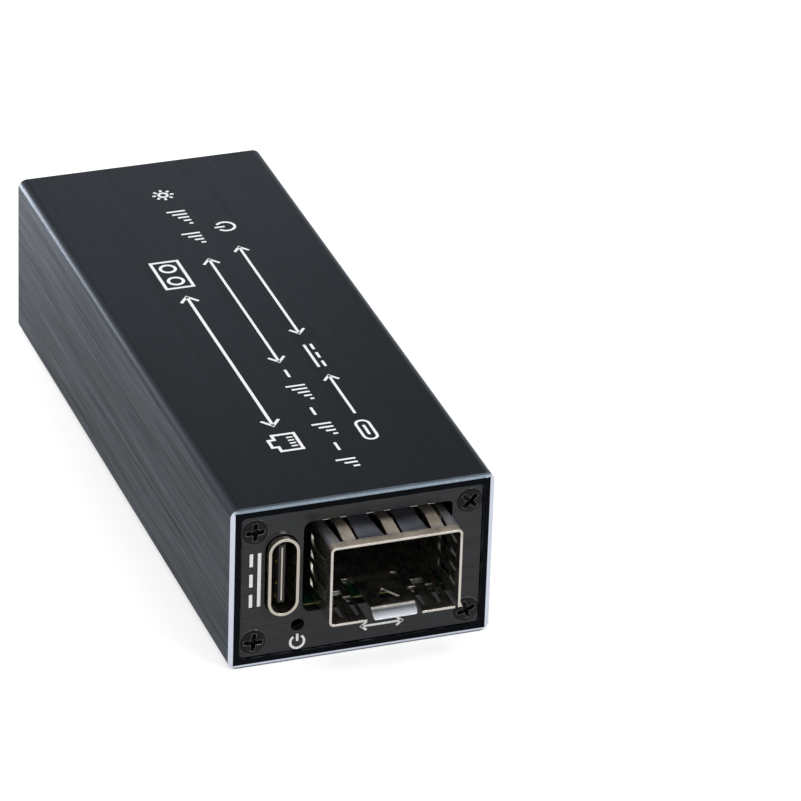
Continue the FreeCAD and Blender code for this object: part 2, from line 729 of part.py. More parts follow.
def usb_c_shell():
    bar = stadium(usb_across, usb_tall, usb_front, usb_back)
    bore = stadium(usb_across - 2 * usb_wall, usb_tall - 2 * usb_wall, usb_front - 1, usb_back + 1)
    legs = []
    for outer, y, side in usb_leg_places():
        inner = outer - side * usb_wall
        legs.append(box(min(inner, outer), max(inner, outer), y - usb_leg / 2, y + usb_leg / 2,
                        board_bottom - usb_leg_reach, usb_level - usb_tall / 4))
    shell = fused(bar.cut(bore), legs)
    long, tall = usb_tab
    middle = (usb_front + usb_back) / 2 - usb_wall
    for level in (usb_level + step for step in usb_tab_levels):
        for side in (-1, 1):
            outer = usb_offset + side * usb_across / 2
            near, far = outer - 2 * usb_wall, outer + 2 * usb_wall
            slit = box(near, far, middle - long / 2, middle + long / 2,
                       level - tall / 2 - usb_tab_slit, level + tall / 2 + usb_tab_slit)
            tab = box(near, far, middle - long / 2 + usb_tab_slit, middle + long / 2,
                      level - tall / 2, level + tall / 2)
            shell = shell.cut(slit.cut(tab))
    return shell


def usb_contact_shapes(clear=0.0):
    """Flat L-shaped contacts on both faces of the tongue, each tail behind the next."""
    thin_half = usb_tongue[0] / 2
    wide, thick = usb_contact
    front = usb_front + usb_tongue_setback + 2 * wide
    shapes = []
    for side in (-1, 1):
        near, far = sorted((side * thin_half, side * (thin_half + thick)))
        for number, row in enumerate(usb_contact_rows):
            level = usb_level + row
            tail = usb_back + thick + 2 * wide * number
            run = box(usb_offset + near - clear, usb_offset + far + clear, front - clear, tail + wide,
                      level - wide / 2 - clear, level + wide / 2 + clear)
            drop = box(usb_offset + near - clear, usb_offset + far + clear, tail, tail + wide,
                       board_top, level + wide / 2)
            shapes.append(run.fuse(drop).removeSplitter())
    return shapes


def usb_c_mid_plate():
    """The steel plate that stiffens the tongue. Its front edge shows in the socket's mouth."""
    thick, tall = usb_plate
    front = usb_front + usb_tongue_setback - usb_plate_proud
    return box(usb_offset - thick / 2, usb_offset + thick / 2, front, usb_base_front + usb_base_depth / 2,
               usb_level - tall / 2, usb_level + tall / 2)


def usb_c_insulator():
    """The moulded base inside the shell with the tongue that stands out of it."""
    room = 2 * (usb_wall + usb_insulator_gap)
    base = stadium(usb_across - room, usb_tall - room, usb_base_front, usb_base_front + usb_base_depth)
    thick, tall = usb_tongue
    tongue = box(usb_offset - thick / 2, usb_offset + thick / 2, usb_front + usb_tongue_setback,
                 usb_base_front + usb_base_depth / 2, usb_level - tall / 2, usb_level + tall / 2)
    body = fused(base, [tongue]).cut(usb_c_mid_plate())
    for contact in usb_contact_shapes(0.02):
        body = body.cut(contact)
    return body


# ---- RJ45 jack ------------------------------------------------------------------------------

def jack_ear_places():
    """The folded-out ears that carry the jack on the board: side and Y."""
    inner, outer = jack_ear_setbacks
    return [(side, y) for side in (-1, 1) for y in (jack_inner_end + inner, jack_back - outer)]


def rj45_shield():
    half = jack_width / 2
    line = [(half, jack_bottom), (half, jack_top), (-half, jack_top), (-half, jack_bottom)]
    hood = bent_strip(line, sheet, jack_bend, across_case(jack_inner_end)).extrude(V(0, jack_length, 0))
    rear_wall = box(-half, half, jack_inner_end, jack_inner_end + sheet, jack_bottom, jack_top)
    notch_x, notch_z = jack_rear_notch
    rear_wall = rear_wall.cut(box(-notch_x / 2, notch_x / 2, jack_inner_end - 1, jack_inner_end + 1,
                                  jack_bottom - 1, jack_bottom + notch_z))
    face = box(-half, half, jack_back - sheet, jack_back, jack_bottom, jack_top)
    shield = fused(hood, [rear_wall, face.cut(port_space(jack_face_gap))])
    long, wide = jack_slit
    for side in (-1, 1):
        start = side * jack_bridge / 2
        shield = shield.cut(box(min(start, start + side * long), max(start, start + side * long),
                                jack_inner_end - 1, jack_inner_end + wide, jack_top - wide, jack_top + 1))
    shield = shield.cut(box(-notch_wide / 2, notch_wide / 2, jack_back - notch_deep, jack_back + 1,
                            jack_top - latch_high, jack_top + 1))
    for level in jack_vent_levels:
        shield = shield.cut(Part.makeCylinder(
            jack_vent / 2, jack_width + 2,
            V(-half - 1, jack_inner_end + jack_vent_setback, board_top + level), V(1, 0, 0)))
    ears = []
    reach = half + jack_ear[0]
    pin_wide, pin_reach = jack_ear_pin
    for side, y in jack_ear_places():
        ears.append(box(min(side * half, side * reach), max(side * half, side * reach),
                        y - jack_ear[1] / 2, y + jack_ear[1] / 2, board_top, board_top + sheet))
        ears.append(box(min(side * reach, side * (reach - sheet)), max(side * reach, side * (reach - sheet)),
                        y - pin_wide / 2, y + pin_wide / 2, board_bottom - pin_reach, board_top + sheet))
    return fused(shield, ears)


def port_space(grow=0.0):
    """The room that the plug and its latch take, from inside the jack out through its mouth."""
    half = port_wide / 2 + grow
    plug = box(-half, half, jack_back - port_deep, jack_back + 1, port_bottom - grow, port_top + grow)
    latch = box(-latch_wide / 2 - grow, latch_wide / 2 + grow, jack_back - latch_deep, jack_back + 1,
                port_top, port_top + latch_high + grow)
    return plug.fuse(latch).removeSplitter()


def rj45_housing():
    skin = sheet + jack_skin_gap
    body = box(-jack_width / 2 + skin, jack_width / 2 - skin, jack_inner_end + skin, jack_back - skin,
               jack_bottom, jack_top - skin)
    body = body.cut(port_space())
    body = body.cut(box(-notch_wide / 2, notch_wide / 2, jack_back - notch_deep, jack_back + 1,
                        port_top, jack_top + 1))
    half = jack_wire / 2 + jack_groove_gap
    tunnel = box(-half, half, jack_inner_end - 1, jack_back - port_deep + jack_tunnel_run,
                 board_top - jack_groove_gap, board_top + jack_wire + 2 * jack_groove_gap)
    comb_middle = jack_back - jack_wire_tip - jack_wire / 2
    comb = box(-half, half, comb_middle - jack_comb / 2, comb_middle + jack_comb / 2,
               port_bottom - jack_wire, port_bottom + 1)
    return body.cut(row_of(tunnel, jack_contacts, jack_pitch) + row_of(comb, jack_contacts, jack_pitch))


def rj45_contacts():
    """Spring wires: each foot is soldered behind the jack, and the wire slopes down to the mouth."""
    line = [(jack_inner_end - jack_tail, board_top), (jack_back - port_deep + jack_wire, board_top),
            (jack_back - jack_wire_tip, port_bottom + jack_groove_gap)]
    section = bent_strip(line, jack_wire, jack_wire_bend, along_case(-jack_wire / 2))
    wire = section.extrude(V(jack_wire, 0, 0))
    return Part.makeCompound(row_of(wire, jack_contacts, jack_pitch))


# ---- parts on the board ---------------------------------------------------------------------

transformer_y = (cage_back + jack_inner_end - jack_tail) / 2
left_lane = (rib_reach - inner_half + cage_left) / 2      # middle of the strip left of the cage
inductor_y = cage_back - inductor[1] / 2 - inductor_setback
regulator_y = inductor_y - inductor[1] / 2 - small_outline[1] / 2 - regulator_gap
capacitor_y = regulator_y - small_outline[1] / 2 - capacitor_bore / 2 - capacitor_gap
diode_ys = [capacitor_y - capacitor_bore / 2 - gap for gap in diode_gaps]
converter_place = (cage_offset, cage_front + converter_setback)
memory_place = (cage_left + memory_offset[0], converter_place[1] + memory_offset[1])
crystal_place = (cage_offset, converter_place[1] - crystal_gap)


def moulded(body, draft=0.25):
    """A moulded body with its upper edges taken off."""
    top = max(vertex.Z for vertex in body.Vertexes)
    edges = [edge for edge in body.Edges if all(abs(v.Z - top) < 1e-6 for v in edge.Vertexes)]
    return body.makeChamfer(draft, edges)


def hung_under_board(shape):
    """Turns a part that was made on the board's top over to the underside."""
    return shape.mirror(V(0, 0, (board_bottom + board_top) / 2), V(0, 0, 1))


def both_sides(lead, count, pitch, x, y):
    """A row of leads along X on the +Y side of a body and its twin on the -Y side."""
    twin = turned(lead, 180)
    return (row_of(lead, count, pitch, V(x, y, 0)) + row_of(twin, count, pitch, V(x, y, 0)))


def pulse_transformer():
    long, deep, high = transformer
    body = moulded(block_on(0, transformer_y, board_top + stand_off, transformer))
    inset = first_pin_mark * 2.5
    mark = Part.makeCylinder(first_pin_mark, 1, V(inset - long / 2, transformer_y + inset - deep / 2,
                                                  board_top + stand_off + high - mark_depth))
    return body.cut(mark)


def transformer_lead_rows():
    lead = gull_wing(transformer[1] / 2, board_top + transformer_lead_level, lead_width,
                     transformer_lead_reach)
    return Part.makeCompound(both_sides(lead, transformer_leads, transformer_pitch, 0, transformer_y))


def converter_body():
    x, y = converter_place
    return hung_under_board(moulded(block_on(x, y, board_top + stand_off, converter_chip), 0.15))


def converter_lead_rows():
    wide, thick, foot = converter_lead
    lead = gull_wing(converter_chip[1] / 2, board_top + converter_lead_level, wide, thick=thick, foot=foot)
    rows = both_sides(lead, converter_leads, converter_pitch, 0, 0)
    rows += [turned(each, 90) for each in rows]
    x, y = converter_place
    return Part.makeCompound([hung_under_board(each.translated(V(x, y, 0))) for each in rows])


def small_outline_body(x, y):
    """An eight-lead chip's body, with its leads to the front and back."""
    deep, wide, high = small_outline
    return moulded(block_on(x, y, board_top + stand_off, (wide, deep, high)), 0.2)


def small_outline_leads(x, y):
    lead = gull_wing(small_outline[0] / 2, board_top + small_outline_lead_level, lead_width)
    return both_sides(lead, 4, small_outline_pitch, x, y)


def power_inductor():
    """A pressed-powder block with clipped corners."""
    wide, deep, high = inductor
    block = block_on(left_lane, inductor_y, board_top, inductor)
    uprights = [edge for edge in block.Edges if abs(edge.Vertexes[0].Z - edge.Vertexes[-1].Z) > high / 2]
    block = block.makeFillet(0.9, uprights)
    top = [edge for edge in block.Edges
           if all(abs(vertex.Z - board_top - high) < 1e-6 for vertex in edge.Vertexes)]
    return block.makeChamfer(0.3, top)


def rectifier_diodes():
    deep, wide, high = diode
    bottom = board_top + diode_terminal[1] + diode_lift
    return Part.makeCompound([moulded(block_on(left_lane, y, bottom, (wide, deep, high)), 0.3)
                              for y in diode_ys])


def diode_terminals():
    """Flat terminals that fold down the body's ends and under it."""
    wide, thick, tuck = diode_terminal
    half = diode[1] / 2
    out = half + thick * 2.5
    level = board_top + diode[2] / 2
    line = [(half - tuck, board_top), (out, board_top), (out, level), (half, level)]
    terminal = sharp_strip(line, thick, across_case(-wide / 2), V(0, wide, 0))
    return Part.makeCompound([turned(terminal, turn).translated(V(left_lane, y, 0))
                              for y in diode_ys for turn in (0, 180)])


def bulk_capacitor():
    """A sleeved can with a rolled groove near its foot."""
    radius = capacitor_bore / 2
    groove, groove_level, edge = 0.25, 0.9, 0.3
    profile = [(0, 0), (radius, 0), (radius, groove_level), (radius - groove, groove_level + groove),
               (radius, groove_level + 2 * groove), (radius, capacitor_tall - edge),
               (radius - edge, capacitor_tall), (0, capacitor_tall)]
    corners = [V(left_lane + u, capacitor_y, board_top + v) for u, v in profile]
    face = Part.Face(Part.makePolygon(corners + corners[:1]))
    return face.revolve(V(left_lane, capacitor_y, 0), V(0, 0, 1), 360)


def capacitor_lead_places():
    return [(left_lane + side * capacitor_lead_pitch / 2, capacitor_y) for side in (-1, 1)]


def capacitor_leads():
    return Part.makeCompound([
        Part.makeCylinder(capacitor_lead / 2, board_thick + capacitor_lead, V(x, y, board_top), V(0, 0, -1))
        for x, y in capacitor_lead_places()])


def clock_crystal():
    """A ceramic tray with a metal lid."""
    wide, deep, high = crystal
    x, y = crystal_place
    tray = high * 0.45
    base = block_on(x, y, board_top, (wide, deep, tray))
    lid = moulded(block_on(x, y, board_top + tray, (wide - 0.5, deep - 0.5, high - tray)), 0.12)
    return hung_under_board(fused(base, [lid]))


def chip_group(places, size):
    """Small two-ended chips under the board, each a block with raised end caps."""
    wide, deep, high = size
    cap, lip = 0.3, 0.03
    chips = []
    for x, y in places:
        body = block_on(x, y, board_top + lip, (wide - cap, deep - 2 * lip, high - 2 * lip))
        ends = [block_on(x + side * (wide - cap) / 2, y, board_top, (cap, deep, high)) for side in (-1, 1)]
        chips.append(hung_under_board(fused(body, ends)))
    return Part.makeCompound(chips)


def ceramic_capacitors():
    """Two rows beside the converter chip and one under each diode."""
    x, y = converter_place
    beside = converter_chip[0] / 2 + capacitor_row_gap
    places = [(x + side * beside, y + step * capacitor_row_pitch)
              for side in (-1, 1) for step in (-1.5, -0.5, 0.5, 1.5)]
    places += [(left_lane, diode_y) for diode_y in diode_ys]
    return chip_group(places, small_capacitor)


def chip_resistors():
    """A row behind the converter chip and a pair in front of the settings memory."""
    x, y = converter_place
    behind = converter_chip[1] / 2 + resistor_row_gap
    places = [(x + step * resistor_row_pitch, y + behind) for step in (-1.5, -0.5, 0.5, 1.5)]
    x, y = memory_place
    before = small_outline[0] / 2 + pull_up_gap
    places += [(x + step * pull_up_pitch, y - before) for step in (-0.5, 0.5)]
    return chip_group(places, small_resistor)


def power_led():
    """A side-looking light on the underside, with its lens behind the hole in the panel."""
    wide, deep, high = led_size
    lens_front = led_lens_gap - board_end
    body_front = lens_front + led_lens[1]
    body = box(led_offset - wide / 2, led_offset + wide / 2, body_front, lens_front + deep,
               board_bottom - high, board_bottom)
    lens = Part.makeCylinder(led_lens[0] / 2, led_lens[1] + deep / 4,
                             V(led_offset, lens_front, board_bottom - high / 2), V(0, 1, 0))
    return fused(body, [lens])


def circuit_board():
    """The board with the jack's cut-out, a slot for every flat leg and a round hole for every wire."""
    board = box(-board_half, board_half, -board_end, board_end, board_bottom, board_top)
    below, above = board_bottom - 1, board_top + 1
    jack_side = jack_width / 2 + jack_board_gap
    openings = [box(-jack_side, jack_side, jack_inner_end - jack_board_gap, board_end + 1, below, above)]
    openings += [Part.makeCylinder(capacitor_lead / 2 + hole_gap, above - below, V(x, y, below))
                 for x, y in capacitor_lead_places()]
    ear_pin = jack_width / 2 + jack_ear[0] - sheet / 2
    slots = [(x + sheet / 2, y, sheet, cage_pin) for x, y in cage_pins()]
    slots += [(outer - side * usb_wall / 2, y, usb_wall, usb_leg) for outer, y, side in usb_leg_places()]
    slots += [(side * ear_pin, y, sheet, jack_ear_pin[0]) for side, y in jack_ear_places()]
    openings += [block_on(x, y, below, (thick + 2 * hole_gap, wide + 2 * hole_gap, above - below))
                 for x, y, thick, wide in slots]
    return board.cut(openings)


# ---- the parts, one file each ---------------------------------------------------------------

def build_all():
    return {
        "case_tube": case_tube(),
        "front_panel": front_panel(),
        "rear_panel": rear_panel(),
        "front_panel_screws": panel_screws((4, 0, 70, 45)),
        "rear_panel_screws": mirrored_ends(panel_screws((10, 60, 30, 80))),
        "circuit_board": circuit_board(),
        "sfp_cage": sfp_cage(),
        "sfp_host_connector": host_connector(),
        "sfp_host_contacts": host_connector_contacts(),
        "usb_c_shell": usb_c_shell(),
        "usb_c_insulator": usb_c_insulator(),
        "usb_c_contacts": Part.makeCompound(usb_contact_shapes()),
        "usb_c_mid_plate": usb_c_mid_plate(),
        "rj45_shield": rj45_shield(),
        "rj45_housing": rj45_housing(),
        "rj45_contacts": rj45_contacts(),
        "pulse_transformer": pulse_transformer(),
        "pulse_transformer_leads": transformer_lead_rows(),
        "converter_chip": converter_body(),
        "converter_chip_leads": converter_lead_rows(),
        "settings_memory": hung_under_board(small_outline_body(*memory_place)),
        "settings_memory_leads": Part.makeCompound(
            [hung_under_board(lead) for lead in small_outline_leads(*memory_place)]),
        "clock_crystal": clock_crystal(),
        "voltage_regulator": small_outline_body(left_lane, regulator_y),
        "voltage_regulator_leads": Part.makeCompound(small_outline_leads(left_lane, regulator_y)),
        "power_inductor": power_inductor(),
        "rectifier_diodes": rectifier_diodes(),
        "diode_terminals": diode_terminals(),
        "bulk_capacitor": bulk_capacitor(),
        "bulk_capacitor_leads": capacitor_leads(),
        "ceramic_capacitors": ceramic_capacitors(),
        "chip_resistors": chip_resistors(),
        "power_light": power_led(),
    }


os.makedirs("parts", exist_ok=True)
for name, shape in build_all().items():
    shape.exportStep("parts/" + name + ".step")
    print(name, "solids", len(shape.Solids), "valid", shape.isValid(), "volume", round(shape.Volume, 2))
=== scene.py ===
"""The look of the pocket fibre media converter: finishes, printed marks, studio and camera.

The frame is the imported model's, in metres: X is across the case, the SFP end faces -Y and +Z is up.
Finishes and printed marks are given in millimetres.
"""
import bpy
import json
import math
from mathutils import Matrix, Vector


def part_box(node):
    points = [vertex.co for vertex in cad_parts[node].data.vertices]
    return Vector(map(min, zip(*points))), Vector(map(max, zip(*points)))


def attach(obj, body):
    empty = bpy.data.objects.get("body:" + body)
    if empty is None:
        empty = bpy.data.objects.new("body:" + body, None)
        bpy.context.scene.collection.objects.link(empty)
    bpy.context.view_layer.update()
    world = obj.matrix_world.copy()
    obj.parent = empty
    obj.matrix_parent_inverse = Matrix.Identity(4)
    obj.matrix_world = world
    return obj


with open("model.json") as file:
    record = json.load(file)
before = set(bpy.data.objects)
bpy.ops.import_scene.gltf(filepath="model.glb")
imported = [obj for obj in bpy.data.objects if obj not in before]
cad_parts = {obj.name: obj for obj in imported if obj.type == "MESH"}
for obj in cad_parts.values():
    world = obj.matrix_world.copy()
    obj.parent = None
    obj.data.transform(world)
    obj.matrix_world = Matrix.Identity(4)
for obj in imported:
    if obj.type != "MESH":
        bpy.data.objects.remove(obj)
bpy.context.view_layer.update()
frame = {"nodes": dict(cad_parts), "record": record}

MM = 0.001
X, Y, Z = range(3)

# Places that a finish depends on, in millimetres.
CASE_TOP = 18.6
CAGE_ROOF = 14.73             # the flat of the cage's roof; its fingers rise above it
CAGE_LIP = -40.5              # the rear of the lip round the cage's mouth, along the case
TONGUE_MIDDLE = 2.4           # of the cage's latch tongue, across the case
TONGUE_REACH = 2.36           # from its middle to its sides
TIP_REAR, TIP_TOP = -40.8, 6.9          # of the tongue's polished tip, along the case and up

BEVEL_SAMPLES = 6
BRICK_JOINTS = 1              # the Brick node's output that is 1 in the joints
FLAT, SHARP = 0.995, 0.86     # how far a rounded normal agrees with the face's own: see edges()


def srgb(red, green, blue):
    """A colour as an eye would read it, 0 to 255, as the shader wants it."""
    linear = []
    for part in (red, green, blue):
        share = part / 255
        linear.append(share / 12.92 if share <= 0.04045 else ((share + 0.055) / 1.055) ** 2.4)
    return (*linear, 1.0)


# ---- node helper ----------------------------------------------------------------------------

class Finish:
    """A material with one Principled shader, and short calls for the nodes that feed it.

    Every call but feed and bump gives a node's output. Sizes are in millimetres.
    """

    def __init__(self, name, **values):
        """Sets each value on the shader's own socket of that name, with _ for a space."""
        self.material = bpy.data.materials.new(name)
        self.material.use_nodes = True
        self.tree = self.material.node_tree
        self.shader = self.tree.nodes["Principled BSDF"]
        self.coordinates = self.tree.nodes.new("ShaderNodeTexCoord")
        for socket, value in values.items():
            self.shader.inputs[socket.replace("_", " ")].default_value = value

    def node(self, kind, sources=(), output=0, **settings):
        """Makes a node, feeds its inputs by name or number, and gives one of its outputs."""
        made = self.tree.nodes.new("ShaderNode" + kind)
        for name, value in settings.items():
            setattr(made, name, value)
        for place, source in dict(sources).items():
            if isinstance(source, bpy.types.NodeSocket):
                self.tree.links.new(source, made.inputs[place])
            else:
                made.inputs[place].default_value = source
        return made.outputs[output]

    def feed(self, socket, source):
        """Drives one of the shader's own sockets."""
        self.tree.links.new(source, self.shader.inputs[socket])

    def noise(self, grain, detail=3.0, rough=0.55, shift=0.0):
        """Noise whose grain has a size along each of X, Y and Z."""
        scale = [1 / (size * MM) for size in grain]
        stretched = self.node("Mapping", {"Vector": self.coordinates.outputs["Object"],
                                          "Location": (shift, shift, shift), "Scale": scale})
        return self.node("TexNoise", {"Vector": stretched, "Scale": 1.0, "Detail": detail,
                                      "Roughness": rough})

    def cells(self, size):
        """Distance to the nearest of scattered points that are about a size apart."""
        return self.node("TexVoronoi", {"Vector": self.coordinates.outputs["Object"],
                                        "Scale": 1 / (size * MM)})

    def remap(self, value, low, high, to_low=0.0, to_high=1.0):
        """Stretches low..high to to_low..to_high, and holds the ends."""
        return self.node("MapRange", {0: value, 1: low, 2: high, 3: to_low, 4: to_high})

    def maths(self, operation, first, second=0.0, third=0.0):
        return self.node("Math", {0: first, 1: second, 2: third}, operation=operation)

    def times(self, first, second):
        return self.maths("MULTIPLY", first, second)

    def blend(self, factor, first, second):
        """The first colour at a factor of 0 and the second at 1."""
        return self.node("Mix", {0: factor, 6: first, 7: second}, output=2, data_type="RGBA")

    def mix(self, factor, first, second):
        """The first number at a factor of 0 and the second at 1."""
        return self.node("Mix", {0: factor, 2: first, 3: second}, output=0, data_type="FLOAT")

    def facing(self, axis):
        """How far a face looks along an axis, from -1 to 1."""
        return self.node("SeparateXYZ", {0: self.coordinates.outputs["Normal"]}, output=axis)

    def normal_part(self, axis):
        """How far a face looks along an axis either way, from 0 to 1."""
        return self.maths("ABSOLUTE", self.facing(axis))

    def spot(self, axis):
        """The place on an axis, in metres."""
        return self.node("SeparateXYZ", {0: self.coordinates.outputs["Object"]}, output=axis)

    def place(self, axis, low, high):
        """0 up to one place on an axis and 1 from another."""
        return self.remap(self.spot(axis), low * MM, high * MM)

    def rounded(self, radius):
        """The normal, as if edges were rounded off."""
        return self.node("Bevel", {"Radius": radius * MM}, samples=BEVEL_SAMPLES)

    def edges(self, radius):
        """1 close to a sharp edge, 0 elsewhere."""
        plain = self.node("NewGeometry", output="Normal")
        agreement = self.node("VectorMath", {0: self.rounded(radius), 1: plain}, output="Value",
                              operation="DOT_PRODUCT")
        return self.remap(agreement, FLAT, SHARP)

    def bump(self, height, depth, strength=1.0, rounded=0.0):
        """Relief of a given depth, on edges softened by a radius."""
        sources = {"Height": height, "Distance": depth * MM, "Strength": strength}
        if rounded:
            sources["Normal"] = self.rounded(rounded)
        self.feed("Normal", self.node("Bump", sources))


# ---- finishes -------------------------------------------------------------------------------

def black_case():
    """Satin black anodising, drawn along the tube, and a bright cut bevel at its ends, with painted
    shade on faces that look up, down or along the case, on the bevel where it looks up, and a painted
    highlight on the long corners.
    """
    # On a metal, Specular Tint is the tone of a face that is seen at a grazing angle.
    finish = Finish("case_black_anodised", Metallic=1.0, Specular_Tint=(0.74, 0.765, 0.805, 1.0))
    streaks = finish.noise((0.18, 16.0, 0.18), detail=4.0, rough=0.7)
    scratches = finish.noise((0.08, 4.0, 0.08), detail=2.0, shift=11.0)
    broad = finish.noise((1.1, 26.0, 1.1), detail=2.0, shift=3.0)
    pores = finish.noise((0.09, 0.09, 0.09), detail=2.0, shift=7.0)
    deep = finish.noise((0.24, 30.0, 0.24), detail=2.0, shift=17.0)
    scores = finish.remap(deep, 0.56, 0.68, 0.0, 0.2)

    # The marks are calmer on faces that look up, down or along the case, and those faces are darkened
    # as painted shade.
    drawn = finish.maths("MULTIPLY_ADD", finish.maths("SUBTRACT", broad, 0.5), 0.35,
                         finish.maths("SUBTRACT", finish.maths("SUBTRACT", streaks, 0.5), scores))
    level = finish.maths("MAXIMUM", finish.remap(finish.normal_part(Z), 0.6, 0.9),
                         finish.remap(finish.normal_part(Y), 0.95, 0.98))
    drawn = finish.times(drawn, finish.mix(level, 1.0, 0.3))
    # Painted shade: the black is darker on faces that look up, down or along the case.
    shade = finish.times(finish.remap(drawn, -0.25, 0.25), finish.mix(level, 1.0, 0.4))
    black = finish.blend(shade, srgb(3, 4, 5), srgb(36, 39, 44))
    satin = finish.remap(finish.maths("MULTIPLY_ADD", pores, 0.15, drawn), -0.3, 0.35, 0.54, 0.24)

    # The long corners get a painted highlight, and every edge is a little rubbed.
    painted_corner_highlight = finish.times(finish.normal_part(X), finish.normal_part(Z))
    black = finish.blend(finish.remap(painted_corner_highlight, 0.1, 0.45, 0.0, 0.55), black, srgb(64, 68, 74))
    rubbed = finish.times(finish.edges(0.12), finish.remap(broad, 0.42, 0.68, 0.0, 0.35))
    black = finish.blend(rubbed, black, srgb(120, 124, 130))

    # The bevel is bare metal, with painted shade where it looks up, and black again close to top and
    # bottom.
    bevel = finish.maths("COMPARE", finish.normal_part(Y), 0.85, 0.12)
    near_top_and_bottom = finish.maths("MAXIMUM", finish.place(Z, CASE_TOP - 0.26, CASE_TOP - 0.14),
                        finish.place(Z, 0.24, 0.12))
    bevel = finish.times(bevel, finish.mix(near_top_and_bottom, 1.0, 0.15))
    silver = finish.blend(streaks, srgb(172, 178, 194), srgb(214, 219, 230))
    dim_tone = finish.blend(streaks, srgb(104, 120, 134), srgb(150, 164, 174))
    # Painted shade: the silver is darker and bluer where the bevel looks up.
    silver = finish.blend(finish.remap(finish.facing(Z), 0.2, 0.4), silver, dim_tone)
    finish.feed("Base Color", finish.blend(bevel, black, silver))
    finish.feed("Roughness", finish.mix(bevel, satin, finish.remap(streaks, 0.3, 0.7, 0.1, 0.18)))
    relief = finish.maths("MULTIPLY_ADD", scratches, 0.5, streaks)
    shallow = finish.times(finish.mix(bevel, 1.0, 0.1), finish.mix(level, 1.0, 0.5))
    finish.bump(finish.times(relief, shallow), 0.012, 0.7, rounded=0.06)
    return finish.material


def black_panel():
    """Glossy anodised sheet, brushed across the case, with its cut edges rubbed."""
    finish = Finish("panel_black_brushed", Specular_IOR_Level=0.32)
    streaks = finish.noise((7.0, 0.14, 0.14), detail=4.0, rough=0.72)
    broad = finish.noise((18.0, 0.8, 0.8), detail=2.0, shift=2.0)
    shade = finish.remap(finish.maths("MULTIPLY_ADD", broad, 0.5, streaks), 0.45, 1.05)
    rubbed = finish.times(finish.edges(0.07), finish.remap(broad, 0.35, 0.65, 0.1, 0.7))
    black = finish.blend(shade, srgb(2, 3, 4), srgb(36, 39, 43))
    finish.feed("Base Color", finish.blend(rubbed, black, srgb(112, 116, 122)))
    finish.feed("Roughness", finish.remap(shade, 0.0, 1.0, 0.13, 0.28))
    finish.bump(streaks, 0.003, 0.5, rounded=0.04)
    return finish.material


def black_screw():
    """Glossy black plating, worn through on the edges of the cross, and these worn edges are also a
    painted highlight on the rim and the cross.
    """
    finish = Finish("screw_black_zinc", Specular_IOR_Level=0.15)
    grain = finish.noise((0.12, 0.12, 0.12), detail=3.0)
    # Wear on the edges, made bright as a painted highlight on the rim and the cross.
    wear_and_rim_highlight = finish.times(finish.edges(0.09), finish.remap(grain, 0.34, 0.6, 0.1, 0.9))
    finish.feed("Base Color", finish.blend(wear_and_rim_highlight, srgb(7, 7, 8), srgb(150, 154, 160)))
    finish.feed("Metallic", finish.times(wear_and_rim_highlight, 0.8))
    finish.feed("Roughness", finish.remap(grain, 0.3, 0.7, 0.12, 0.26))
    finish.bump(grain, 0.004, 0.4, rounded=0.06)
    return finish.material


def rolling_marks(finish, along):
    """Rolling marks along one axis with faint stains: as a tone, as unevenness and as relief."""
    grain = [0.07, 0.07, 0.07]
    grain[along] = 2.4
    rolled = finish.noise(grain, detail=4.0, rough=0.65)
    stains = finish.noise((2.2, 2.2, 2.2), detail=3.0, shift=5.0)
    tone = finish.maths("MULTIPLY_ADD", stains, 0.8, finish.times(rolled, 0.5))
    uneven = finish.maths("MULTIPLY_ADD", stains, 0.5, finish.times(rolled, 0.6))
    return finish.remap(tone, 0.4, 0.95), uneven, finish.maths("MULTIPLY_ADD", stains, 0.7, rolled)


def plated_sheet(name, dim_tone, bright, smooth, coarse, along, lip, sheared=None):
    """Plated sheet with rolling marks along one axis, faint stains and a painted highlight on its
    edges.

    Smooth and coarse are the ends of its roughness, and lip is the radius of its edges. Sheared is
    the tone of the faces that look along the case, where the sheet was cut off.
    """
    finish = Finish(name, Metallic=1.0)
    tone, uneven, relief = rolling_marks(finish, along)
    plated = finish.blend(tone, dim_tone, bright)
    if sheared:
        plated = finish.blend(finish.remap(finish.normal_part(Y), 0.8, 0.95), plated, sheared)
    # Painted highlight: a bright line along the sheet's edges.
    painted_edge_highlight = finish.times(finish.edges(0.05), 0.6)
    finish.feed("Base Color", finish.blend(painted_edge_highlight, plated, srgb(240, 234, 224)))
    finish.feed("Roughness", finish.remap(uneven, 0.35, 0.75, smooth, coarse))
    finish.bump(relief, 0.005, 0.4, rounded=lip)
    return finish.material


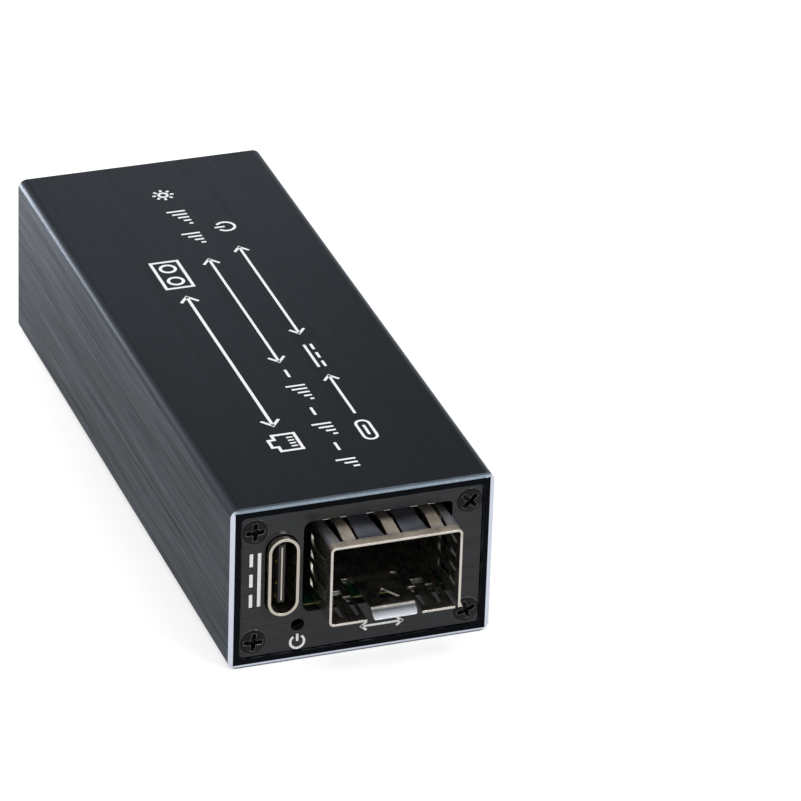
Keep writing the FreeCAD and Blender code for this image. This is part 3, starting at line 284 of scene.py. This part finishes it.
def cage_nickel():
    """Nickel plating: bright inside and matt on the roof, with painted shade on the roof, painted
    highlights on its fingers, lip and edges, and a polished latch-tongue tip painted bright below and
    dark above.
    """
    finish = Finish("cage_nickel_sheet", Metallic=1.0)
    tone, uneven, relief = rolling_marks(finish, Y)

    # The outside of the roof is matt, with painted bluish shade on its flat and a warmer painted
    # highlight on its fingers and on the lip.
    roof = finish.times(finish.remap(finish.facing(Z), 0.3, 0.6),
                        finish.place(Z, CAGE_ROOF - 0.6, CAGE_ROOF - 0.4))
    lip = finish.place(Y, CAGE_LIP + 0.1, CAGE_LIP - 0.1)
    highlit_fingers_and_lip = finish.maths("MAXIMUM", lip, finish.place(Z, CAGE_ROOF - 0.02, CAGE_ROOF + 0.1))
    highlit_fingers_and_lip = finish.times(roof, highlit_fingers_and_lip)
    plated = finish.blend(tone, srgb(172, 168, 160), srgb(206, 202, 195))
    # Painted shade on the roof's flat, and a painted highlight on its fingers and lip.
    for where, dim_tone, bright in ((roof, srgb(112, 116, 126), srgb(150, 154, 164)),
                                (highlit_fingers_and_lip, srgb(140, 131, 118), srgb(206, 195, 179))):
        plated = finish.blend(where, plated, finish.blend(tone, dim_tone, bright))

    # The tongue's tip is polished, with a painted highlight at its foot and painted shade above.
    tip = finish.maths("COMPARE", finish.spot(X), TONGUE_MIDDLE * MM, TONGUE_REACH * MM)
    for axis, low, high in ((Y, TIP_REAR - 0.4, TIP_REAR), (Z, TIP_TOP - 0.2, TIP_TOP)):
        tip = finish.times(tip, finish.maths("SUBTRACT", 1.0, finish.place(axis, low, high)))
    painted_tip_light_and_shade = finish.blend(finish.place(Z, 5.7, 6.5), srgb(222, 226, 234), srgb(74, 76, 82))
    plated = finish.blend(tip, plated, painted_tip_light_and_shade)
    # Painted highlight: a bright line along the cage's edges.
    painted_edge_highlight = finish.times(finish.edges(0.05), 0.6)
    finish.feed("Base Color", finish.blend(painted_edge_highlight, plated, srgb(236, 230, 219)))
    bright = finish.remap(uneven, 0.35, 0.75, 0.2, 0.34)
    finish.feed("Roughness", finish.mix(roof, bright, finish.remap(uneven, 0.35, 0.75, 0.42, 0.56)))
    finish.bump(relief, 0.005, 0.4, rounded=0.06)
    return finish.material


def black_moulding():
    """Glass-filled nylon, matt, with faint flow marks."""
    finish = Finish("moulding_black_nylon", Specular_IOR_Level=0.4)
    grain = finish.noise((0.15, 0.15, 0.15), detail=4.0)
    flow = finish.noise((3.0, 3.0, 3.0), detail=2.0, shift=4.0)
    finish.feed("Base Color", finish.blend(flow, srgb(20, 20, 21), srgb(33, 33, 35)))
    finish.feed("Roughness", finish.remap(grain, 0.3, 0.7, 0.42, 0.6))
    finish.bump(grain, 0.01, 0.6, rounded=0.05)
    return finish.material


def contact_metal(name, pale, deep, smooth, coarse):
    """Plated spring metal with drawing marks and faint blotches.

    Smooth and coarse are the ends of its roughness.
    """
    finish = Finish(name, Metallic=1.0)
    drawn = finish.noise((0.05, 0.8, 0.3), detail=3.0)
    blotch = finish.noise((0.6, 0.6, 0.6), detail=2.0, shift=6.0)
    finish.feed("Base Color", finish.blend(blotch, pale, deep))
    finish.feed("Roughness", finish.remap(drawn, 0.3, 0.7, smooth, coarse))
    finish.bump(drawn, 0.003, 0.4, rounded=0.03)
    return finish.material


def green_laminate():
    """Solder mask over tracks, with bare laminate on the sawn edge; the mask green is darker than its
    own, as painted shade inside the closed case.
    """
    finish = Finish("board_green_mask", Coat_Weight=0.35, Coat_Roughness=0.12)
    weave = finish.noise((0.3, 0.3, 0.3), detail=2.0)
    millimetres = finish.node("Mapping", {"Vector": finish.coordinates.outputs["Object"],
                                          "Scale": (1 / MM,) * 3})
    tracks = finish.node("TexBrick", {"Vector": millimetres, "Scale": 0.55, "Mortar Size": 0.035,
                                      "Mortar Smooth": 0.1, "Brick Width": 2.7, "Row Height": 1.1},
                         output=BRICK_JOINTS, offset=0.37, squash=1.6, squash_frequency=3)
    pour = finish.remap(finish.noise((5.0, 7.0, 5.0), detail=1.0, shift=8.0), 0.49, 0.51)
    copper = finish.maths("MAXIMUM", tracks, finish.times(pour, 0.6))
    face = finish.remap(finish.normal_part(Z), 0.6, 0.8)
    # Painted shade: the mask green is darker than the board's own.
    solder_mask_in_painted_shade = finish.blend(copper, srgb(4, 46, 30), srgb(10, 74, 48))
    sawn = finish.blend(weave, srgb(176, 168, 112), srgb(205, 196, 142))
    finish.feed("Base Color", finish.blend(face, sawn, solder_mask_in_painted_shade))
    finish.feed("Roughness", finish.mix(face, 0.8, finish.remap(weave, 0.3, 0.7, 0.28, 0.4)))
    finish.bump(finish.maths("ADD", finish.times(copper, face), weave), 0.02, 0.5)
    return finish.material


def chip_epoxy():
    """Matt black moulding of the chips."""
    finish = Finish("chip_black_epoxy", Specular_IOR_Level=0.35)
    grain = finish.noise((0.06, 0.06, 0.06), detail=3.0)
    cloud = finish.noise((1.5, 1.5, 1.5), detail=2.0, shift=2.0)
    finish.feed("Base Color", finish.blend(cloud, srgb(30, 30, 31), srgb(46, 46, 47)))
    finish.feed("Roughness", finish.remap(grain, 0.3, 0.7, 0.5, 0.72))
    finish.bump(grain, 0.012, 0.7)
    return finish.material


def ferrite():
    """Pressed grey ferrite, with a coarse grain."""
    finish = Finish("inductor_ferrite", Specular_IOR_Level=0.3)
    grain = finish.cells(0.18)
    cloud = finish.noise((0.9, 0.9, 0.9), detail=3.0)
    finish.feed("Base Color", finish.blend(cloud, srgb(52, 52, 54), srgb(84, 83, 82)))
    finish.feed("Roughness", finish.remap(grain, 0.0, 0.8, 0.55, 0.8))
    finish.bump(grain, 0.02, 0.6)
    return finish.material


def capacitor_sleeve():
    """Shrunk sleeve round the can, and the bare aluminium of its top."""
    finish = Finish("capacitor_sleeve_violet", Coat_Weight=0.3, Coat_Roughness=0.25)
    wrinkle = finish.noise((0.5, 0.5, 1.6), detail=3.0)
    lid = finish.remap(finish.normal_part(Z), 0.9, 0.97)
    sleeve = finish.blend(wrinkle, srgb(40, 36, 62), srgb(56, 52, 84))
    finish.feed("Base Color", finish.blend(lid, sleeve, srgb(196, 198, 200)))
    finish.feed("Metallic", lid)
    finish.feed("Roughness", finish.remap(wrinkle, 0.3, 0.7, 0.32, 0.46))
    finish.bump(wrinkle, 0.02, 0.5)
    return finish.material


def ceramic_chip():
    """Tan ceramic of the small capacitors, matt and a little cloudy."""
    finish = Finish("capacitor_ceramic_tan", Specular_IOR_Level=0.45)
    grain = finish.noise((0.1, 0.1, 0.1), detail=3.0)
    cloud = finish.noise((0.8, 0.8, 0.8), detail=2.0, shift=3.0)
    finish.feed("Base Color", finish.blend(cloud, srgb(158, 128, 92), srgb(186, 158, 120)))
    finish.feed("Roughness", finish.remap(grain, 0.3, 0.7, 0.35, 0.55))
    finish.bump(grain, 0.006, 0.5)
    return finish.material


def light_lens():
    """Unlit lens of the power light: milky, waxy plastic."""
    finish = Finish("light_lens_milky", Transmission_Weight=0.25, IOR=1.5)
    cloud = finish.noise((0.3, 0.3, 0.3), detail=3.0)
    finish.feed("Base Color", finish.blend(cloud, srgb(206, 214, 196), srgb(228, 232, 220)))
    finish.feed("Roughness", finish.remap(cloud, 0.3, 0.7, 0.2, 0.35))
    finish.bump(cloud, 0.004, 0.4)
    return finish.material


def white_ink():
    """Screen-printed ink, a little thin in places."""
    finish = Finish("print_white_ink", Specular_IOR_Level=0.3)
    speckle = finish.noise((0.09, 0.09, 0.09), detail=3.0)
    thin = finish.remap(speckle, 0.42, 0.7)
    finish.feed("Base Color", finish.blend(thin, srgb(248, 249, 250), srgb(232, 234, 236)))
    finish.feed("Roughness", finish.remap(speckle, 0.3, 0.7, 0.5, 0.7))
    finish.bump(speckle, 0.003, 0.5)
    return finish.material


FINISH_OF_SLOT = {
    "black_anodised": black_case(),
    "black_panel": black_panel(),
    "black_screw": black_screw(),
    "green_laminate": green_laminate(),
    "nickel_sheet": cage_nickel(),
    "tinned_sheet": plated_sheet("jack_tinned_sheet", dim_tone=srgb(182, 178, 168),
                                 bright=srgb(212, 209, 201), smooth=0.24, coarse=0.42,
                                 along=X, lip=0.06),
    "steel_shell": plated_sheet("usb_steel_shell", dim_tone=srgb(196, 190, 178),
                                bright=srgb(230, 225, 214), smooth=0.16, coarse=0.3,
                                along=Y, lip=0.05, sheared=srgb(178, 172, 160)),
    "black_moulding": black_moulding(),
    "gilt_contact": contact_metal("contact_gilt", pale=srgb(196, 156, 80), deep=srgb(168, 128, 58),
                                  smooth=0.2, coarse=0.34),
    "tinned_lead": contact_metal("lead_tinned", pale=srgb(206, 206, 204), deep=srgb(176, 176, 174),
                                 smooth=0.24, coarse=0.4),
    "chip_epoxy": chip_epoxy(),
    "ferrite": ferrite(),
    "capacitor_sleeve": capacitor_sleeve(),
    "ceramic_chip": ceramic_chip(),
    "light_lens": light_lens(),
}


def dress_nodes():
    """Gives each CAD node the finish of its slot in the record."""
    for subpart in frame["record"]["subparts"]:
        node = frame["nodes"][subpart["node"]]
        if not node.material_slots:
            node.data.materials.append(None)
        for slot in node.material_slots:
            slot.material = FINISH_OF_SLOT[subpart["material_slot"]]


# ---- printed marks --------------------------------------------------------------------------

INK = 0.012 * MM              # how far the ink stands up, and how far it sinks in
HEAVY, BOLD, MEDIUM, THIN, FINE = 0.36, 0.34, 0.3, 0.26, 0.24         # line widths, in millimetres
MITRE_LIMIT = 0.35            # stops the point of a sharp corner from running out
ARC_STEP = 12                 # degrees


class Print:
    """Line drawings of white ink on one plane. U runs along the marks and V is up in them.

    Every size in a drawing is in millimetres.
    """

    def __init__(self, name, origin, along, up):
        self.name = name
        self.origin, self.along, self.up = Vector(origin), Vector(along), Vector(up)
        self.out = self.along.cross(self.up)
        self.points, self.faces = [], []

    def ribbon(self, line, width, closed=False):
        """A line of a given width through 2D points, with mitred corners."""
        line = [Vector(point) for point in line]
        count = len(line)
        left, right = [], []
        for number, point in enumerate(line):
            before = line[number - 1] if closed or number else None
            after = line[(number + 1) % count] if closed or number < count - 1 else None
            runs = [(b - a).normalized() for a, b in ((before, point), (point, after))
                    if a is not None and b is not None]
            normals = [Vector((-run.y, run.x)) for run in runs]
            mitre = sum(normals, Vector((0, 0))).normalized()
            reach = width / 2 / max(mitre.dot(normals[0]), MITRE_LIMIT)
            left.append(point + mitre * reach)
            right.append(point - mitre * reach)
        first = len(self.points)
        for level in (-INK, INK):
            for side in (left, right):
                for point in side:
                    self.points.append(self.origin + self.along * point.x * MM
                                       + self.up * point.y * MM + self.out * level)
        low_left, low_right, high_left, high_right = (first + count * row for row in range(4))
        for number in range(count if closed else count - 1):
            a, b = number, (number + 1) % count
            self.faces += [(high_left + a, high_right + a, high_right + b, high_left + b),
                           (low_right + a, low_left + a, low_left + b, low_right + b),
                           (low_left + a, high_left + a, high_left + b, low_left + b),
                           (high_right + a, low_right + a, low_right + b, high_right + b)]
        if not closed:
            for number, flip in ((0, False), (count - 1, True)):
                cap = [row + number for row in (low_left, low_right, high_right, high_left)]
                self.faces.append(tuple(cap[::-1] if flip else cap))

    def bar(self, u0, u1, v, width):
        """A line along U."""
        self.ribbon([(u0, v), (u1, v)], width)

    def post(self, u, v0, v1, width):
        """A line along V."""
        self.ribbon([(u, v0), (u, v1)], width)

    def arc(self, centre, radius, start, end, width):
        """Part of a ring, in degrees anticlockwise from U. A whole turn closes."""
        turn = end - start
        closed = turn >= 360
        steps = round(turn / ARC_STEP)
        line = []
        for step in range(steps if closed else steps + 1):
            angle = math.radians(start + turn * step / steps)
            line.append((centre[0] + radius * math.cos(angle),
                         centre[1] + radius * math.sin(angle)))
        self.ribbon(line, width, closed)

    def box(self, u0, u1, v0, v1, width):
        """The outline of a rectangle."""
        self.ribbon([(u0, v0), (u1, v0), (u1, v1), (u0, v1)], width, closed=True)

    def arrow(self, u0, u1, v, head, width, both=True):
        """A line with an open head at u1, and at u0 if both."""
        self.bar(u0, u1, v, width)
        spread = head * 0.8
        for tip, back in ((u1, -head), (u0, head)) if both else ((u1, -head),):
            self.ribbon([(tip + back, v + spread), (tip, v), (tip + back, v - spread)], width)

    def piece(self, finish):
        """Makes the drawing a piece of the part."""
        mesh = bpy.data.meshes.new(self.name)
        mesh.from_pydata([tuple(point) for point in self.points], [], self.faces)
        mesh.validate()
        mesh.materials.append(finish)
        made = bpy.data.objects.new(self.name, mesh)
        bpy.context.scene.collection.objects.link(made)
        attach(made, "root")


def draw_socket(sheet, u, height, width):
    """A network socket seen from its mouth: a box with a stepped notch and four contacts."""
    half = height * 0.55
    step, notch = half * 0.45, height * 0.22
    shoulder = height - notch
    sheet.ribbon([(u - half, 0), (u + half, 0), (u + half, shoulder), (u + step, shoulder),
                  (u + step, height), (u - step, height), (u - step, shoulder),
                  (u - half, shoulder)], width, closed=True)
    for number in range(4):
        sheet.post(u + (number - 1.5) * half * 0.36, width, height * 0.34, width * 0.7)


def draw_fibre_pair(sheet, u, height, width):
    """A fibre pair seen from its end: two rings in a box."""
    sheet.box(u - height, u + height, 0, height, width)
    for side in (-1, 1):
        sheet.arc((u + side * height * 0.48, height / 2), height * 0.27, 0, 360, width)


def draw_direct_current(sheet, u, v, length, width):
    """A long bar over three short ones."""
    gap = width * 1.2
    sheet.bar(u - length / 2, u + length / 2, v + gap, width)
    dash = length / 4.2
    for step in (-1, 0, 1):
        middle = u + step * (length - dash) / 2
        sheet.bar(middle - dash / 2, middle + dash / 2, v - gap, width)


def draw_power(sheet, u, v, radius, width):
    """A broken ring with a post through the break."""
    sheet.arc((u, v), radius, 125, 415, width)
    sheet.post(u, v + radius * 0.1, v + radius * 1.25, width)


def draw_oval_socket(sheet, u, height, width):
    """A flat oval socket with its tongue."""
    reach, radius = height * 0.9, height * 0.32
    line = []
    for side, start in ((1, -90), (-1, 90)):
        for step in range(7):
            angle = math.radians(start + 30 * step)
            line.append((u + side * (reach - radius) + radius * math.cos(angle),
                         height / 2 + radius * math.sin(angle)))
    sheet.ribbon(line, width, closed=True)
    sheet.bar(u - reach * 0.5, u + reach * 0.5, height / 2, width)


def draw_steps(sheet, u, height, count, width):
    """Posts that rise from left to right, as for speed. Gives the place after the last one."""
    for number in range(count):
        sheet.post(u + number * height * 0.36, 0, height * (number + 1) / count, width)
    return u + count * height * 0.36


def draw_beam(sheet, u, height, width):
    """A light source: a ring with rays."""
    centre = Vector((u, height / 2))
    sheet.arc(centre, height * 0.2, 0, 360, width)
    for number in range(8):
        angle = math.pi / 4 * number
        ray = Vector((math.cos(angle), math.sin(angle)))
        sheet.ribbon([centre + ray * height * 0.33, centre + ray * height * 0.5], width)


def top_marks(finish):
    """Three rows of plain symbols that read from the SFP end, as the real print does."""
    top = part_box("case_tube")[1].z

    def row(name, foot, start):
        """A row that starts at a place along the case, with its foot at a place across it."""
        return Print(name, (foot * MM, start * MM, top), (0, 1, 0), (-1, 0, 0))

    link = row("link_row_print", -3.0, -28.0)
    draw_socket(link, 1.8, 3.0, BOLD)
    link.arrow(5.4, 34.6, 1.5, 1.2, BOLD)
    draw_fibre_pair(link, 39.8, 3.0, BOLD)

    speed = row("speed_row_print", 1.4, -33.0)
    height, middle, dash, arrow = 2.1, 1.0, 1.6, 24.0
    end = 0.3
    for count in (3, 4, 5):
        end = draw_steps(speed, end, height, count, MEDIUM) + 1.2
        speed.bar(end, end + dash, middle, MEDIUM)
        end += dash + 1.8
    speed.arrow(end, end + arrow, middle, 1.1, MEDIUM)
    end += arrow + 4.0
    for count in (4, 5):
        end = draw_steps(speed, end, height, count, MEDIUM) + 1.6
    draw_beam(speed, end + 1.8, 2.4, MEDIUM)

    power = row("power_row_print", 5.5, -28.0)
    middle = 1.1
    draw_oval_socket(power, 2.0, 2.2, MEDIUM)
    power.arrow(5.6, 14.0, middle, 1.0, MEDIUM, both=False)
    draw_direct_current(power, 18.5, middle, 5.0, MEDIUM)
    power.arrow(23.5, 44.0, middle, 1.0, MEDIUM)
    draw_power(power, 49.0, 1.0, 1.0, MEDIUM)

    for drawing in (link, speed, power):
        drawing.piece(finish)


def front_marks(finish):
    """Symbols beside the sockets, where the real panel has words."""
    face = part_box("front_panel")[0].y
    low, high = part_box("power_light")
    light = (low.x + high.x) / 2
    low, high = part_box("sfp_cage")
    slot = (low.x + high.x) / 2

    beside_usb = Print("supply_symbol_print", (-11.3 * MM, face, 10.1 * MM), (0, 0, -1), (1, 0, 0))
    draw_direct_current(beside_usb, 0, 0, 6.2, HEAVY)
    under_light = Print("power_symbol_print", (light, face, 2.3 * MM), (1, 0, 0), (0, 0, 1))
    draw_power(under_light, 0, -0.15, 0.74, THIN)
    under_slot = Print("fibre_symbol_print", (slot, face, 2.45 * MM), (1, 0, 0), (0, 0, 1))
    under_slot.arrow(-2.2, 2.2, 0.3, 0.6, FINE)

    for drawing in (beside_usb, under_light, under_slot):
        drawing.piece(finish)


# ---- studio ---------------------------------------------------------------------------------

FLOOR_REACH = 3.0             # metres from its middle to each side
FLOOR_DROP = 0.05 * MM        # how far the floor lies below the part
FLOOR_PAPER = 0.45            # the floor's own tone, which takes the shadow
FLOOR_LIFT = 0.7              # what brings it up to white for the camera and for mirrors
MATT_SKY = 0.45               # the sky's strength on everything matt


def seen_by(tree, *rays):
    """1 to the named kinds of ray and 0 to the others."""
    path = tree.nodes.new("ShaderNodeLightPath")
    found = path.outputs[rays[0]]
    for ray in rays[1:]:
        either = tree.nodes.new("ShaderNodeMath")
        either.operation = "MAXIMUM"
        tree.links.new(found, either.inputs[0])
        tree.links.new(path.outputs[ray], either.inputs[1])
        found = either.outputs[0]
    return found


def floor():
    """A wide white floor. What the camera and mirrors see of it is lifted, and keeps its shadow."""
    mesh = bpy.data.meshes.new("studio_floor")
    corners = [(x * FLOOR_REACH, y * FLOOR_REACH, 0)
               for x, y in ((-1, -1), (1, -1), (1, 1), (-1, 1))]
    mesh.from_pydata(corners, [], [(0, 1, 2, 3)])
    made = bpy.data.objects.new("studio_floor", mesh)
    bpy.context.scene.collection.objects.link(made)
    made.location.z = -FLOOR_DROP

    material = bpy.data.materials.new("studio_floor_white")
    material.use_nodes = True
    tree = material.node_tree
    tree.nodes.clear()
    paper = tree.nodes.new("ShaderNodeBsdfDiffuse")
    paper.inputs["Color"].default_value = (FLOOR_PAPER, FLOOR_PAPER, FLOOR_PAPER, 1)
    lift = tree.nodes.new("ShaderNodeEmission")
    strength = tree.nodes.new("ShaderNodeMath")
    strength.operation = "MULTIPLY"
    strength.inputs[1].default_value = FLOOR_LIFT
    both = tree.nodes.new("ShaderNodeAddShader")
    output = tree.nodes.new("ShaderNodeOutputMaterial")
    tree.links.new(seen_by(tree, "Is Camera Ray", "Is Glossy Ray"), strength.inputs[0])
    tree.links.new(strength.outputs[0], lift.inputs["Strength"])
    tree.links.new(paper.outputs[0], both.inputs[0])
    tree.links.new(lift.outputs[0], both.inputs[1])
    tree.links.new(both.outputs[0], output.inputs["Surface"])
    mesh.materials.append(material)


def sky():
    """White to the camera, to mirrors and through glass, and a softer level on everything matt."""
    world = bpy.data.worlds.new("studio_sky")
    bpy.context.scene.world = world
    world.use_nodes = True
    tree = world.node_tree
    strength = tree.nodes.new("ShaderNodeMapRange")
    strength.inputs["To Min"].default_value = MATT_SKY
    strength.inputs["To Max"].default_value = 1.0
    seen = seen_by(tree, "Is Camera Ray", "Is Glossy Ray", "Is Transmission Ray")
    background = tree.nodes["Background"]
    background.inputs["Color"].default_value = (1, 1, 1, 1)
    tree.links.new(seen, strength.inputs["Value"])
    tree.links.new(strength.outputs[0], background.inputs["Strength"])


def lamp(name, place, size, power):
    """A soft square lamp aimed at the middle of the case's foot. Metres and watts."""
    data = bpy.data.lights.new(name, "AREA")
    data.size = size
    data.energy = power
    made = bpy.data.objects.new(name, data)
    made.location = place
    made.rotation_euler = (-Vector(place)).to_track_quat("-Z", "Y").to_euler()
    bpy.context.scene.collection.objects.link(made)


def lamps():
    """Two lamps on the whole, and two small ones that lighten the rear of the top and left side."""
    lamp("lamp_overhead", (0.0, -0.05, 0.85), 0.45, 2.6)
    lamp("lamp_front_right", (0.44, -0.69, 0.4), 0.3, 3.6)
    lamp("lamp_behind", (0.025, 0.115, 0.057), 0.055, 0.006)
    lamp("lamp_rear_left", (-0.04, 0.08, 0.018), 0.02, 0.026)


def camera():
    """A long lens at the photograph's angle: left of straight-on, above, and a little rolled."""
    aim = Vector((0.00977, -0.02119, 0.0186))
    distance = 0.6095
    heading, pitch, roll = (math.radians(angle) for angle in (20.37, 28.9, 1.98))
    forward = Vector((math.sin(heading) * math.cos(pitch), math.cos(heading) * math.cos(pitch),
                      -math.sin(pitch)))
    data = bpy.data.cameras.new("photo_camera")
    data.lens = 266.12
    data.sensor_width = 36.0
    data.clip_start = 0.05
    data.clip_end = 20.0
    made = bpy.data.objects.new("photo_camera", data)
    upright = forward.to_track_quat("-Z", "Y").to_matrix().to_4x4()
    rolled = upright @ Matrix.Rotation(roll, 4, "Z")
    made.matrix_world = Matrix.Translation(aim - forward * distance) @ rolled
    bpy.context.scene.collection.objects.link(made)
    bpy.context.scene.camera = made


dress_nodes()
ink = white_ink()
top_marks(ink)
front_marks(ink)
floor()
sky()
lamps()
camera()

bpy.context.scene.view_settings.view_transform = "Standard"
